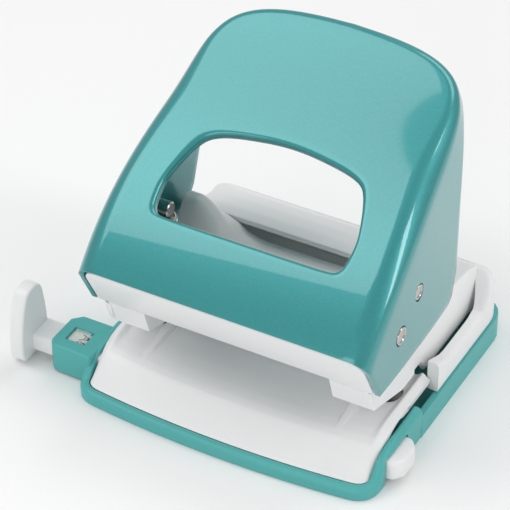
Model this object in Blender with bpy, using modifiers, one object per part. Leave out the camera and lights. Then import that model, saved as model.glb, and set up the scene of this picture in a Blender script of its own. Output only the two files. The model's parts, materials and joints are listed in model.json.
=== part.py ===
"""Two-hole office punch with a pressed steel lever, a sliding paper guide and a chip door.

Metres, +Z up, X along the row of holes, -Y towards the user. The origin is at the centre of the
underside. Sizes below are in millimetres and are turned into metres where objects are made.
"""

import math

import bmesh
import bpy
from mathutils import Matrix, Vector

MM = 0.001

# Overall sizes
BASE_W = 105.4
BASE_FRONT = -47.5
BASE_REAR = 51.5
FRONT_BOW = 3.5
LEVER_W = 100.0
LEVER_LENGTH = 103.2
LEVER_TILT = 32.0

# Holes punched in the paper
HOLE_SPACING = 80.0
HOLE_D = 5.5
PUNCH_Y = -11.8
EDGE_DISTANCE = 12.0

# Clearances
GAP = 0.3
PIN_CLEAR = 0.3
PUNCH_CLEAR = 0.15
SWING_CLEAR = 0.8

# Walls
SHEET = 1.6
WALL = 2.0
RIM_WALL = 3.0
FLOOR = 1.6

# Heights
TABLE_TOP = 13.8
THROAT = 4.6
BODY_TOP = 34.4
RIM_FRONT_Z = 4.2
RIM_SIDE_Z = 12.0
REAR_RIM_Z = 8.9

# Lever and its pins
LEVER_FRONT = (-47.9, 53.8)
LEVER_TOE = (-38.0, 34.8)
LEVER_HEEL = (18.7, 34.8)
LEVER_BACK = ((20.4, 47.2), (24.0, 66.8), (31.6, 89.4))
LEVER_LIP = 7.0
LEVER_CROWN = 5.0
WINDOW_ROLL = 1.4
LEVER_BEND = 7.0
TOP_BEND = 3.0
LEVER_ARCH = (
    (0.93, 0.60), (0.896, 0.766), (0.86, 0.843), (0.78, 0.911), (0.65, 0.956), (0.47, 0.983), (0.24, 0.996),
)
WINDOW_W = 66.0
WINDOW_S = (23.0, 57.5)
PIVOT = (-24.1, 48.7)
PIVOT_R = 3.0
DRIVE = (-11.1, 56.0)
DRIVE_R = 2.6
PIN_PROUD = 0.3

# Punches, bushes, dies and springs
HEAD_R = 5.0
HEAD_H = 3.0
BUSH_R = 4.0
BUSH_FLANGE_R = 5.4
BUSH_FLANGE_H = 1.7
BUSH_SEAT_Z = 31.0
TIP_ABOVE_THROAT = 0.6
DIE_R = 5.0
DIE_H = 2.1
SPRING_R = 4.0
WIRE_R = 0.45
SPRING_TURNS = 7

# Punch housings
HOUSING_IN = 7.8
HOUSING_OUT = 6.3
HOUSING_FRONT = (-36.2, 33.6)
HOUSING_LIP = (-33.3, 24.7)
TOWER_BACK_GAP = 0.7
TOWER_HEAD_R = 5.6

# Paper guide
GUIDE_Y = (-36.7, -26.7)
GUIDE_Z = (3.2, 9.5)
GUIDE_END_X = 33.0
STOP_X = -74.0
STOP_T = 5.2
BLOCK_X = -66.6
BLOCK_WALL_Y = 3.4
BLOCK_TOP = 11.3
VIEW_X = (-62.3, -56.2)
VIEW_Y = (-35.0, -28.6)

# Lever lock
LOCK_Y = (-36.6, -22.4)
LOCK_Z = (2.1, 9.2)
LOCK_PROUD = 5.1

# Chip door
DOOR_X = 35.0
DOOR_Y = (8.0, 44.0)
DOOR_HINGE = (43.2, 1.0)

# Screws from below, as (x, y) for the front and the rear pair
SCREW_FRONT = (43.0, -20.3)
SCREW_REAR = (44.5, 40.0)
SCREW_R = 1.4
SCREW_HEAD_R = 2.8
SCREW_HEAD_Z = (0.7, 2.5)
SCREW_LENGTH = 7.5
BOSS_R = 3.0
PAD_R = 4.6
PAD_TOP = 4.2

# Derived places
TILT = math.radians(LEVER_TILT)
STOP_FACE_Y = PUNCH_Y + EDGE_DISTANCE
CEILING = TABLE_TOP + THROAT
HALF_BASE = BASE_W / 2
HALF_LEVER = LEVER_W / 2
HOLE_X = HOLE_SPACING / 2
PUNCH_R = HOLE_D / 2
LEVER_IN = HALF_LEVER - SHEET
HEAD_TOP = DRIVE[1] - DRIVE_R - GAP
HEAD_UNDER = HEAD_TOP - HEAD_H
BUSH_TOP = BUSH_SEAT_Z + GAP + BUSH_FLANGE_H
SIDES = (("left", -1), ("right", 1))


# ---------------------------------------------------------------- modelling helpers

def clear_scene():
    for item in list(bpy.data.objects):
        bpy.data.objects.remove(item, do_unlink=True)


def new_collection(name):
    made = bpy.data.collections.new(name)
    bpy.context.scene.collection.children.link(made)
    return made


def material(name, colour, roughness, metallic=0.0, alpha=1.0):
    made = bpy.data.materials.new(name)
    made.use_nodes = True
    shader = made.node_tree.nodes["Principled BSDF"]
    shader.inputs["Base Color"].default_value = (*colour, 1.0)
    shader.inputs["Roughness"].default_value = roughness
    shader.inputs["Metallic"].default_value = metallic
    shader.inputs["Alpha"].default_value = alpha
    return made


def rounded(corners, segments=5):
    """Outline through (u, v) or (u, v, radius) corners, each radius turned into an arc."""
    outline = []
    count = len(corners)
    for index, corner in enumerate(corners):
        here = Vector(corner[:2])
        if len(corner) == 2:
            outline.append(here)
            continue
        to_last = (Vector(corners[index - 1][:2]) - here).normalized()
        to_next = (Vector(corners[(index + 1) % count][:2]) - here).normalized()
        half = to_last.angle(to_next) / 2
        middle = (to_last + to_next).normalized()
        centre = here + middle * (corner[2] / math.sin(half))
        reach = corner[2] / math.tan(half)
        start = here + to_last * reach - centre
        end = here + to_next * reach - centre
        turn = start.angle_signed(end)
        for step in range(segments + 1):
            outline.append(centre + Matrix.Rotation(-turn * step / segments, 2) @ start)
    return outline


TURNS = {
    "X": (math.pi / 2, 0.0, math.pi / 2),
    "Z": (0.0, 0.0, 0.0),
}


def link(name, mesh, collection, location=(0, 0, 0), turn=(0, 0, 0)):
    made = bpy.data.objects.new(name, mesh)
    made.location = Vector(location) * MM
    made.rotation_euler = turn
    collection.objects.link(made)
    return made


def prism(name, outline, span, axis, collection, location=(0, 0, 0), turn=None):
    """A flat outline extruded over span along its axis: X takes (y, z) and Z takes (x, y)."""
    curve = bpy.data.curves.new(name, "CURVE")
    curve.dimensions = "2D"
    curve.fill_mode = "BOTH"
    curve.extrude = (span[1] - span[0]) / 2 * MM
    spline = curve.splines.new("POLY")
    spline.points.add(len(outline) - 1)
    for point, place in zip(spline.points, outline):
        point.co = (place[0] * MM, place[1] * MM, 0, 1)
    spline.use_cyclic_u = True
    source = bpy.data.objects.new(name, curve)
    collection.objects.link(source)
    graph = bpy.context.evaluated_depsgraph_get()
    mesh = bpy.data.meshes.new_from_object(source.evaluated_get(graph))
    bpy.data.objects.remove(source)
    bpy.data.curves.remove(curve)
    work = bmesh.new()
    work.from_mesh(mesh)
    bmesh.ops.remove_doubles(work, verts=work.verts, dist=0.00001)
    bmesh.ops.translate(work, verts=work.verts, vec=(0, 0, (span[0] + span[1]) / 2 * MM))
    bmesh.ops.recalc_face_normals(work, faces=work.faces)
    work.to_mesh(mesh)
    work.free()
    return link(name, mesh, collection, location, TURNS[axis] if turn is None else turn)


def box(name, low, high, collection):
    work = bmesh.new()
    bmesh.ops.create_cube(work, size=1.0)
    size = [(b - a) * MM for a, b in zip(low, high)]
    bmesh.ops.scale(work, vec=size, verts=work.verts)
    mesh = bpy.data.meshes.new(name)
    work.to_mesh(mesh)
    work.free()
    return link(name, mesh, collection, [(a + b) / 2 for a, b in zip(low, high)])


def rod(name, radius, start, end, axis, place, collection, sides=32):
    """A cylinder from start to end along X or Z; place is (y, z) for X and (x, y) for Z."""
    work = bmesh.new()
    bmesh.ops.create_cone(
        work, cap_ends=True, segments=sides, radius1=radius * MM, radius2=radius * MM,
        depth=abs(end - start) * MM,
    )
    mesh = bpy.data.meshes.new(name)
    work.to_mesh(mesh)
    work.free()
    middle = (start + end) / 2
    if axis == "X":
        made = link(name, mesh, collection, (middle, *place), (0, math.pi / 2, 0))
    else:
        made = link(name, mesh, collection, (*place, middle))
    smooth(made)
    return made


def turned(name, profile, place, collection, steps=32):
    """A profile of (radius, z) corners, closed on itself, turned about Z."""
    mesh = bpy.data.meshes.new(name)
    work = bmesh.new()
    ring = [work.verts.new((radius * MM, 0, z * MM)) for radius, z in profile]
    closed = profile[0][0] > 0 and profile[-1][0] > 0
    for first, second in zip(ring, ring[1:] + (ring[:1] if closed else [])):
        if first is not second:
            work.edges.new((first, second))
    work.to_mesh(mesh)
    work.free()
    made = link(name, mesh, collection, (*place, 0))
    screw = made.modifiers.new("Turn", "SCREW")
    screw.axis = "Z"
    screw.steps = steps
    screw.render_steps = steps
    screw.use_merge_vertices = True
    screw.merge_threshold = 0.00001
    screw.use_smooth_shade = False
    return made


def smooth(made, angle=35):
    made.data.shade_smooth()
    made.data.set_sharp_from_angle(angle=math.radians(angle))


def boolean(made, other, operation):
    step = made.modifiers.new(other.name, "BOOLEAN")
    step.operation = operation
    step.object = other
    step.solver = "EXACT"
    other.hide_render = True
    other.display_type = "WIRE"


def cut(made, *others):
    for other in others:
        boolean(made, other, "DIFFERENCE")


def join(made, *others):
    for other in others:
        boolean(made, other, "UNION")


def keep(made, other):
    boolean(made, other, "INTERSECT")


def bevel(made, width, segments=2, angle=40):
    step = made.modifiers.new("Edges", "BEVEL")
    step.width = width * MM
    step.segments = segments
    step.limit_method = "ANGLE"
    step.angle_limit = math.radians(angle)


def paint(made, colour):
    made.data.materials.clear()
    made.data.materials.append(colour)


def mirrored(outline, side):
    return [(side * point[0], *point[1:]) for point in outline][::side]


# ---------------------------------------------------------------- base

def base_plan(inset=0.0):
    """Plan of the base: straight sides and back, and a front edge that bows out."""
    half = HALF_BASE - inset
    front = BASE_FRONT + inset
    rear = BASE_REAR - inset
    outline = [(half, rear, 9.0), (-half, rear, 9.0), (-half, front - 0.2, 8.0)]
    bows = 6
    for step in range(1, bows):
        share = -1 + 2 * step / bows
        outline.append((half * share, front - FRONT_BOW * (1 - share * share)))
    outline.append((half, front - 0.2, 8.0))
    return rounded(outline)


def make_base_pan(parts, cutters):
    """The moulded pan under the whole punch: floor, rear rim and the frame of the chip door."""
    pan = prism("base_pan", base_plan(), (0, REAR_RIM_Z), "Z", parts)
    split = PUNCH_Y - 0.4
    inside = prism("pan_inside", base_plan(WALL), (FLOOR, 30), "Z", cutters)
    front = box("pan_front", (-80, -80, FLOOR), (80, split + GAP, 30), cutters)
    around = prism("pan_rim_room", base_plan(), (-1, 30), "Z", cutters)
    within = prism("pan_rim_within", base_plan(RIM_WALL + GAP), (-5, 40), "Z", cutters)
    rear = box("pan_rim_rear", (-80, split + GAP, -10), (80, 80, 50), cutters)
    cut(around, within, rear)
    opening = box(
        "door_opening", (-DOOR_X - 0.4, DOOR_Y[0] - 0.4, -1), (DOOR_X + 0.4, DOOR_Y[1] + 0.6, FLOOR + 1),
        cutters,
    )
    outer = box("pan_front_all", (-80, -80, -1), (80, split + GAP, 30), cutters)
    cut(outer, within)
    cut(pan, inside, front, outer, opening)
    add_pads(pan, cutters)
    return pan


def screw_places():
    for row, place in (("front", SCREW_FRONT), ("rear", SCREW_REAR)):
        for word, side in SIDES:
            yield f"{row}_{word}", (side * place[0], place[1])


def add_pads(pan, cutters):
    """Raised pads in the pan, each bored and sunk for a screw head."""
    for word, place in screw_places():
        join(pan, rod(f"pad_{word}", PAD_R, FLOOR / 2, PAD_TOP, "Z", place, cutters, 28))
        cut(
            pan,
            rod(f"pad_sink_{word}", SCREW_HEAD_R + GAP, -1, SCREW_HEAD_Z[1] + GAP, "Z", place, cutters, 24),
            rod(f"pad_bore_{word}", SCREW_R + GAP, -1, 9, "Z", place, cutters, 24),
        )


def add_bosses(made, row, top, cutters):
    """Bored posts that hang from a moulding and take the screws of one row."""
    for word, place in screw_places():
        if not word.startswith(row):
            continue
        join(made, rod(f"boss_{word}", BOSS_R, PAD_TOP + GAP, top, "Z", place, cutters, 24))
        bore_top = SCREW_HEAD_Z[0] + SCREW_LENGTH + 0.6
        cut(made, rod(f"boss_bore_{word}", SCREW_R + GAP, 0, bore_top, "Z", place, cutters, 24))


def make_screw(word, place, parts, cutters):
    """A cross-slotted screw that holds the pan to the mouldings above it."""
    low, shoulder = SCREW_HEAD_Z
    screw = turned(f"screw_{word}", [
        (0, low + SCREW_LENGTH), (SCREW_R - 0.4, low + SCREW_LENGTH), (SCREW_R, low + SCREW_LENGTH - 0.6),
        (SCREW_R, shoulder), (SCREW_HEAD_R, shoulder), (SCREW_HEAD_R, low), (0, low),
    ][::-1], place, parts, 24)
    for index, size in enumerate(((1.7, 0.3), (0.3, 1.7))):
        slot = box(
            f"slot_{word}_{index}", (place[0] - size[0], place[1] - size[1], low - 1),
            (place[0] + size[0], place[1] + size[1], low + 0.8), cutters,
        )
        cut(screw, slot)
    return screw


def guide_block_plan():
    return rounded([
        (BLOCK_X, GUIDE_Y[0] - BLOCK_WALL_Y + 0.4, 2.5), (-HALF_BASE + 2, GUIDE_Y[0] - BLOCK_WALL_Y),
        (-HALF_BASE + 2, GUIDE_Y[1] + BLOCK_WALL_Y + 1), (BLOCK_X + 3, GUIDE_Y[1] + BLOCK_WALL_Y + 1, 2.0),
        (BLOCK_X, GUIDE_Y[1] + 1, 2.0),
    ], 3)


def make_front_rim(parts, cutters):
    """The bullnosed rim round the paper table, in one piece with the housing of the paper guide."""
    rim = prism("front_rim", base_plan(), (0, 20), "Z", parts)
    within = prism("rim_within", base_plan(RIM_WALL), (-1, 30), "Z", cutters)
    end = PUNCH_Y - 0.4
    height = prism("rim_height", rounded([
        (-60, 0), (-60, RIM_FRONT_Z), (-45.4, RIM_FRONT_Z + 0.6, 3.0), (-38.6, RIM_SIDE_Z, 5.0),
        (end, RIM_SIDE_Z), (end, 0),
    ]), (-70, 70), "X", cutters)
    block = prism("guide_block", guide_block_plan(), (0.6, BLOCK_TOP), "Z", cutters)
    bevel(block, 1.0)
    room = 0.35
    channel = box(
        "guide_channel", (BLOCK_X - 5, GUIDE_Y[0] - room, GUIDE_Z[0] - room),
        (-HALF_BASE + 12, GUIDE_Y[1] + room, GUIDE_Z[1] + room), cutters,
    )
    pocket = box(
        "spring_pocket", (BLOCK_X + 2.2, GUIDE_Y[1], GUIDE_Z[0] + 0.6),
        (BLOCK_X + 13.4, GUIDE_Y[1] + 2.6, GUIDE_Z[1] - 0.6), cutters,
    )
    view = box("view_hole", (VIEW_X[0], VIEW_Y[0], GUIDE_Z[1] - 1), (VIEW_X[1], VIEW_Y[1], 20), cutters)
    arch = prism("lock_arch", rounded([
        (LOCK_Y[0] - 0.5, -5), (LOCK_Y[1] + 0.5, -5), (LOCK_Y[1] + 0.5, LOCK_Z[1] + 0.5, 1.0),
        (LOCK_Y[0] - 0.5, LOCK_Z[1] + 0.5, 1.0),
    ]), (HALF_BASE - 12, HALF_BASE + 5), "X", cutters)
    cut(rim, within)
    keep(rim, height)
    join(rim, block)
    cut(rim, channel, pocket, view, arch)
    return rim


def make_format_lens(parts):
    """The clear window over the paper sizes on the guide."""
    return box(
        "format_lens", (VIEW_X[0] + GAP, VIEW_Y[0] + GAP, BLOCK_TOP - 0.5),
        (VIEW_X[1] - GAP, VIEW_Y[1] - GAP, BLOCK_TOP - 0.1), parts,
    )


def make_detent_spring(parts):
    """The bowed leaf that presses on the back of the guide bar."""
    start = BLOCK_X + 2.8
    length = 10.0
    rise = 1.3
    steps = 8
    near = GUIDE_Y[1] + GAP
    front = [
        (start + length * n / steps, near + rise * (2 * n / steps - 1) ** 2) for n in range(steps + 1)
    ]
    back = [(x, y + 0.4) for x, y in reversed(front)]
    return prism("detent_spring", front + back, (GUIDE_Z[0] + 1.2, GUIDE_Z[1] - 1.2), "Z", parts)


def make_front_plate(parts, cutters):
    """The paper table: a sloped apron that rises to the flat on which the sheets lie."""
    front = BASE_FRONT + RIM_WALL - 2.6
    back = STOP_FACE_Y - GAP
    top = [
        (front, FLOOR + GAP), (front, 3.8), (front + 2.2, 5.6), (-38.9, 11.4, 5.0), (-32.5, TABLE_TOP, 9.0),
        (back, TABLE_TOP),
    ]
    under = [
        (back, TABLE_TOP - WALL), (-32.0, TABLE_TOP - WALL, 7.0), (-38.0, 9.6, 4.0),
        (front + WALL + 1.2, 3.6), (front + WALL + 1.2, FLOOR + GAP),
    ]
    half = HALF_BASE - RIM_WALL - GAP
    plate = prism("front_plate", rounded(top + under, 4), (-half, half), "X", parts)
    room = prism("plate_room", base_plan(RIM_WALL + GAP), (-5, 40), "Z", cutters)
    keep(plate, room)
    for word, side in SIDES:
        cut(plate, rod(f"die_seat_{word}", DIE_R + GAP, 5, 20, "Z", (side * HOLE_X, PUNCH_Y), cutters, 40))
    add_bosses(plate, "front", TABLE_TOP - 1, cutters)
    return plate


def make_chassis(parts, cutters):
    """The steel strip under the paper table that carries both dies."""
    top = TABLE_TOP - WALL - GAP
    half = HALF_BASE - RIM_WALL - 3
    strip = box("chassis", (-half, PUNCH_Y - 5, top - SHEET), (half, STOP_FACE_Y - 1.2, top), parts)
    for word, side in SIDES:
        place = (side * HOLE_X, PUNCH_Y)
        cut(strip, rod(f"chip_hole_{word}", PUNCH_R + 0.6, 5, 20, "Z", place, cutters, 32))
    return strip


def make_die(word, side, parts):
    top = TABLE_TOP - 0.1
    low = TABLE_TOP - WALL
    hole = PUNCH_R + 0.1
    return turned(f"die_{word}", [
        (DIE_R, top), (DIE_R, low), (hole, low), (hole, top),
    ], (side * HOLE_X, PUNCH_Y), parts, 36)


# ---------------------------------------------------------------- body

def make_upper_body(parts, cutters):
    """The white body: two side walls that flank the lever, the paper stop and the rear deck."""
    low = REAR_RIM_Z + GAP
    half = HALF_BASE - 0.4
    body = prism("upper_body", rounded([
        (-36.4, BODY_TOP), (HOUSING_LIP[0], HOUSING_LIP[1] - 0.2), (-14.0, CEILING), (STOP_FACE_Y, CEILING),
        (STOP_FACE_Y, low), (BASE_REAR - 0.4, low), (BASE_REAR - 0.4, 14.0, 6.0), (48.0, 25.0, 8.0),
        (38.5, 30.8, 10.0), (24.0, BODY_TOP, 10.0),
    ], 4), (-half, half), "X", parts)
    bevel(body, 1.6, 3, 50)
    plan = prism("body_plan", base_plan(0.5), (-5, 60), "Z", cutters)
    keep(body, plan)
    inner = half - WALL
    deck_front = LEVER_HEEL[0] + 2.3
    mechanism = box("mechanism_room", (-inner, STOP_FACE_Y - 1, CEILING + 2), (inner, deck_front, 90), cutters)
    throat = box("throat_room", (-inner, -70, CEILING - 1), (inner, STOP_FACE_Y + 0.5, 91), cutters)
    hollow = prism("body_hollow", rounded([
        (STOP_FACE_Y + WALL, 0), (STOP_FACE_Y + WALL, CEILING + 4), (deck_front - 1, CEILING + 4),
        (deck_front - 1, BODY_TOP - WALL),
        (38.0, 28.6, 8.0), (46.4, 23.4, 6.0), (BASE_REAR - 0.4 - WALL, 13.6), (BASE_REAR - 0.4 - WALL, 0),
    ], 3), (0.2 - inner, inner - 0.2), "X", cutters)
    cut(body, throat, mechanism, hollow)
    add_bosses(body, "rear", 26.8, cutters)
    return body


def smoothstep(low, high, value):
    share = min(max((value - low) / (high - low), 0.0), 1.0)
    return share * share * (3 - 2 * share)


def make_inner_cover(parts):
    """The dust cover behind the punches, scooped in the middle and drawn up at each side."""
    half_x = LEVER_IN - 2.4
    y_low = PUNCH_Y + HEAD_R + 2.0
    y_high = LEVER_HEEL[0] + 2.3 - GAP
    deck = 28.6
    crest = 47.5
    work = bmesh.new()
    bmesh.ops.create_grid(work, x_segments=30, y_segments=10, size=0.5)
    for vert in work.verts:
        x = vert.co.x * 2 * half_x
        y = y_low + (vert.co.y + 0.5) * (y_high - y_low)
        narrow = 1 - 0.07 * smoothstep(deck + 4, crest, deck + 30 * smoothstep(20, 42, abs(x)))
        side = smoothstep(19, 42, abs(x))
        front = smoothstep(y_low, y_low + 13, y)
        back = 1 - smoothstep(y_low + 15, y_high, y)
        z = deck + (crest - deck) * side * front * (0.35 + 0.65 * back)
        vert.co = Vector((x * narrow, y, z)) * MM
    mesh = bpy.data.meshes.new("inner_cover")
    work.to_mesh(mesh)
    work.free()
    cover = link("inner_cover", mesh, parts)
    shell = cover.modifiers.new("Wall", "SOLIDIFY")
    shell.thickness = 1.5 * MM
    shell.offset = -1
    smooth(cover, 50)
    return cover


def make_front_cover(parts):
    """The white strip that closes the front of the lever, fixed to the punch housings."""
    rise = (Vector(LEVER_FRONT) - Vector(LEVER_TOE)).normalized()
    into = Vector((rise.y, -rise.x))
    low = Vector(LEVER_TOE) + into * 0.5 - rise * 0.2
    high = Vector(LEVER_FRONT) + into * 0.5 - rise * (SHEET + 0.6)
    length = (high - low).length
    half = LEVER_IN - 0.5
    turn = math.atan2(rise.y, rise.x)
    outline = rounded([
        (-half, 0.0), (half, 0.0), (half, length, LEVER_BEND - SHEET), (-half, length, LEVER_BEND - SHEET),
    ], 4)
    return prism("front_cover", outline, (0, WALL), "Z", parts, (0, low.x, low.y), (turn, 0, 0))


def make_housing(word, side, parts, cutters):
    """The tower that holds one lever pin and guides one punch."""
    inner = HOLE_X - HOUSING_IN
    outer = HOLE_X + HOUSING_OUT
    back = PUNCH_Y + HEAD_R + 1.7
    tower = PUNCH_Y - HEAD_R - TOWER_BACK_GAP
    housing = prism(f"punch_housing_{word}", rounded([
        HOUSING_FRONT, HOUSING_LIP, (-14.0, CEILING), (back, CEILING), (back, BUSH_SEAT_Z),
        (tower, BUSH_SEAT_Z), (tower, PIVOT[1]), (PIVOT[0] + 3.5, PIVOT[1] + TOWER_HEAD_R, 2.0),
        (PIVOT[0] - 3.5, PIVOT[1] + TOWER_HEAD_R, 2.0), (PIVOT[0] - TOWER_HEAD_R - 1.2, PIVOT[1] - 4),
    ], 3), sorted((side * inner, side * outer)), "X", parts)
    bevel(housing, 0.5, 1, 50)
    place = (side * HOLE_X, PUNCH_Y)
    cut(
        housing,
        rod(f"bush_bore_{word}", BUSH_R + GAP, 10, 40, "Z", place, cutters, 36),
        rod(f"pivot_bore_{word}", PIVOT_R + PIN_CLEAR, side * 20, side * 60, "X", PIVOT, cutters, 32),
    )
    return housing


def make_bush(word, side, parts):
    """The steel sleeve in which a punch slides; its flange seats the return spring."""
    bore = PUNCH_R + PUNCH_CLEAR
    seat = BUSH_SEAT_Z + GAP
    return turned(f"guide_bush_{word}", [
        (BUSH_FLANGE_R, BUSH_TOP), (BUSH_FLANGE_R, seat), (BUSH_R, seat), (BUSH_R, CEILING + GAP),
        (bore, CEILING + GAP), (bore, BUSH_TOP),
    ], (side * HOLE_X, PUNCH_Y), parts, 36)


def make_punch(word, side, parts):
    """A hardened punch with a broad head that the lever presses on."""
    tip = CEILING + TIP_ABOVE_THROAT
    cup = 1.2
    return turned(f"punch_{word}", [
        (0, HEAD_TOP), (HEAD_R - 0.5, HEAD_TOP), (HEAD_R, HEAD_TOP - 0.5), (HEAD_R, HEAD_UNDER),
        (PUNCH_R, HEAD_UNDER), (PUNCH_R, tip), (0, tip + cup),
    ], (side * HOLE_X, PUNCH_Y), parts, 28)


def make_spring(word, side, parts):
    """The coil that lifts a punch and the lever back up."""
    low = BUSH_TOP + GAP + WIRE_R
    high = HEAD_UNDER - GAP - WIRE_R
    per_turn = 12
    count = SPRING_TURNS * per_turn
    curve = bpy.data.curves.new(f"spring_{word}", "CURVE")
    curve.dimensions = "3D"
    curve.bevel_depth = WIRE_R * MM
    curve.bevel_resolution = 1
    curve.use_fill_caps = True
    spline = curve.splines.new("POLY")
    spline.points.add(count)
    for index, point in enumerate(spline.points):
        angle = 2 * math.pi * index / per_turn
        height = low + (high - low) * index / count
        point.co = (
            SPRING_R * math.cos(angle) * MM, SPRING_R * math.sin(angle) * MM, height * MM, 1,
        )
    return link(f"spring_{word}", curve, parts, (side * HOLE_X, PUNCH_Y, 0))


# ---------------------------------------------------------------- lever

def shrunk(outline, inset):
    """A closed anticlockwise outline with every side moved inwards by the inset."""
    moved = []
    for index, here in enumerate(outline):
        last = here - outline[index - 1]
        after = outline[(index + 1) % len(outline)] - here
        normals = [Vector((-side.y, side.x)).normalized() for side in (last, after)]
        moved.append(here + (normals[0] + normals[1]) * (inset / (1 + normals[0].dot(normals[1]))))
    return moved


def lever_plan(inset=0.0, tail=40.0):
    """Half-widths of the lever along its face, from below the front edge to the arched top."""
    right = [Vector((HALF_LEVER, -tail)), Vector((HALF_LEVER, 0.21 * LEVER_LENGTH))]
    right += [Vector((x * HALF_LEVER, s * LEVER_LENGTH)) for x, s in LEVER_ARCH]
    left = [Vector((-corner.x, corner.y)) for corner in reversed(right)]
    return shrunk(right + [Vector((0, LEVER_LENGTH))] + left, inset)


def half_width_at(s):
    """Half-width of the lever at a distance s along its face."""
    corners = [(0.21, 1.0)] + [(share, x) for x, share in LEVER_ARCH]
    share = s / LEVER_LENGTH
    for (low, wide), (high, narrow) in zip(corners, corners[1:]):
        if low <= share <= high:
            return HALF_LEVER * (wide + (narrow - wide) * (share - low) / (high - low))
    return HALF_LEVER


def on_face(place):
    """Distance along the lever's face of a (y, z) place."""
    y = place[0] - LEVER_FRONT[0]
    z = place[1] - LEVER_FRONT[1]
    return y * math.cos(TILT) + z * math.sin(TILT)


def toward(outline, centre, direction):
    """Where a ray from the centre meets a closed outline of (x, s) points."""
    best = None
    for first, second in zip(outline, outline[1:] + outline[:1]):
        edge = second - first
        cross = direction.x * edge.y - direction.y * edge.x
        if abs(cross) < 1e-9:
            continue
        offset = first - centre
        reach = (offset.x * edge.y - offset.y * edge.x) / cross
        share = (offset.x * direction.y - offset.y * direction.x) / cross
        if reach > 0 and -1e-6 <= share <= 1 + 1e-6 and (best is None or reach > best):
            best = reach
    return centre + direction * best


def window_plan(grow=0.0):
    """The hand window: flat below, arched above, narrower at the top."""
    wide = WINDOW_W / 2 + grow
    low = WINDOW_S[0] - grow
    high = WINDOW_S[1] + grow
    return rounded([
        (-wide + 1, low, 7.0), (wide - 1, low, 7.0), (wide, low + 12, 9.0), (wide - 4.5, high - 4.5, 9.0),
        (0, high, 60.0), (-wide + 4.5, high - 4.5, 9.0), (-wide, low + 12, 9.0),
    ], 4)


def crown(s):
    """How far the face of the lever stands above its chord, most at a third of its length."""
    share = min(max(s / LEVER_LENGTH, 0.0), 1.0)
    return 6.75 * LEVER_CROWN * share * (1 - share) ** 2


def bend_at(s):
    """Radius between the face and the flank, wide along the sides and tight round the top."""
    return LEVER_BEND + (TOP_BEND - LEVER_BEND) * smoothstep(0.6 * LEVER_LENGTH, 0.95 * LEVER_LENGTH, s)


def lever_rings():
    """Closed rings of (x, s, z), from the rolled edge of the window to the foot of the flanks."""
    centre = Vector((0, (WINDOW_S[0] + WINDOW_S[1]) / 2))
    corners = window_plan() + lever_plan()
    turns = sorted({round(math.atan2((p - centre).y, (p - centre).x), 4) for p in corners})
    rays = [Vector((math.cos(turn), math.sin(turn))) for turn in turns]
    rings = []

    foot = [toward(lever_plan(), centre, ray) for ray in rays]
    bends = [bend_at(place.y) for place in foot]

    def ring(outline, drop):
        places = [toward(outline, centre, ray) for ray in rays]
        rings.append([(p.x, p.y, crown(p.y) - drop) for p in places])

    def bend_ring(across, down):
        ringed = []
        for ray, bend in zip(rays, bends):
            place = toward(lever_plan(bend * across), centre, ray)
            ringed.append((place.x, place.y, crown(place.y) - bend * down))
        return ringed

    ring(window_plan(), WINDOW_ROLL + 1.2)
    for step in range(3):
        angle = math.pi / 4 * step
        ring(window_plan(WINDOW_ROLL * (1 - math.cos(angle))), WINDOW_ROLL * (1 - math.sin(angle)))
    hem = rings[-1]
    edge = bend_ring(1.0, 0.0)
    for share in (0.33, 0.67):
        between = [Vector(a[:2]).lerp(Vector(b[:2]), share) for a, b in zip(hem, edge)]
        rings.append([(p.x, p.y, crown(p.y)) for p in between])
    for step in range(5):
        angle = math.pi / 8 * step
        rings.append(bend_ring(1 - math.sin(angle), 1 - math.cos(angle)))
    rings.append([(p.x, p.y, -100.0) for p in foot])
    return rings


def make_lever(parts, cutters):
    """The pressed steel lever: crowned face, rounded flanks and a rolled hand window."""
    work = bmesh.new()
    loops = [[work.verts.new(Vector(p) * MM) for p in ring] for ring in lever_rings()]
    for inner, outer in zip(loops, loops[1:]):
        for index, vert in enumerate(inner):
            after = (index + 1) % len(inner)
            work.faces.new((vert, outer[index], outer[after], inner[after]))
    mesh = bpy.data.meshes.new("lever")
    work.to_mesh(mesh)
    work.free()
    lever = link("lever", mesh, parts, (0, *LEVER_FRONT), (TILT, 0, 0))
    sheet = lever.modifiers.new("Sheet", "SOLIDIFY")
    sheet.thickness = SHEET * MM
    sheet.offset = -1
    sheet.use_even_offset = True
    along = Vector((math.cos(TILT), math.sin(TILT)))
    out = Vector((-math.sin(TILT), math.cos(TILT)))
    tip = Vector(LEVER_FRONT) + along * (LEVER_LENGTH + 1) - out * LEVER_LIP
    edge = (Vector(LEVER_FRONT) - Vector(LEVER_TOE)).normalized()
    nose = Vector(LEVER_FRONT) + edge * 12
    side = prism("lever_side", rounded([
        tuple(nose), (*LEVER_TOE, 1.5), (*LEVER_HEEL, 6.0), *LEVER_BACK, tuple(tip),
        tuple(tip + along * 30), (tip.x + 30, tip.y + 60), (nose.x, tip.y + 60),
    ], 4), (-70, 70), "X", cutters)
    pivot = rod("pivot_hole", PIVOT_R + PIN_CLEAR, -70, 70, "X", PIVOT, cutters, 32)
    drive = rod("drive_hole", DRIVE_R + PIN_CLEAR, -70, 70, "X", DRIVE, cutters, 32)
    keep(lever, side)
    cut(lever, pivot, drive)
    return lever


def make_pin(name, radius, place, inner, side, parts):
    """A steel pin from inside the punch to just proud of the lever's flank."""
    outer = half_width_at(on_face(place))
    made = rod(name, radius, side * inner, side * (outer + PIN_PROUD), "X", place, parts, 32)
    bevel(made, 0.3, 1, 60)
    return made


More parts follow.
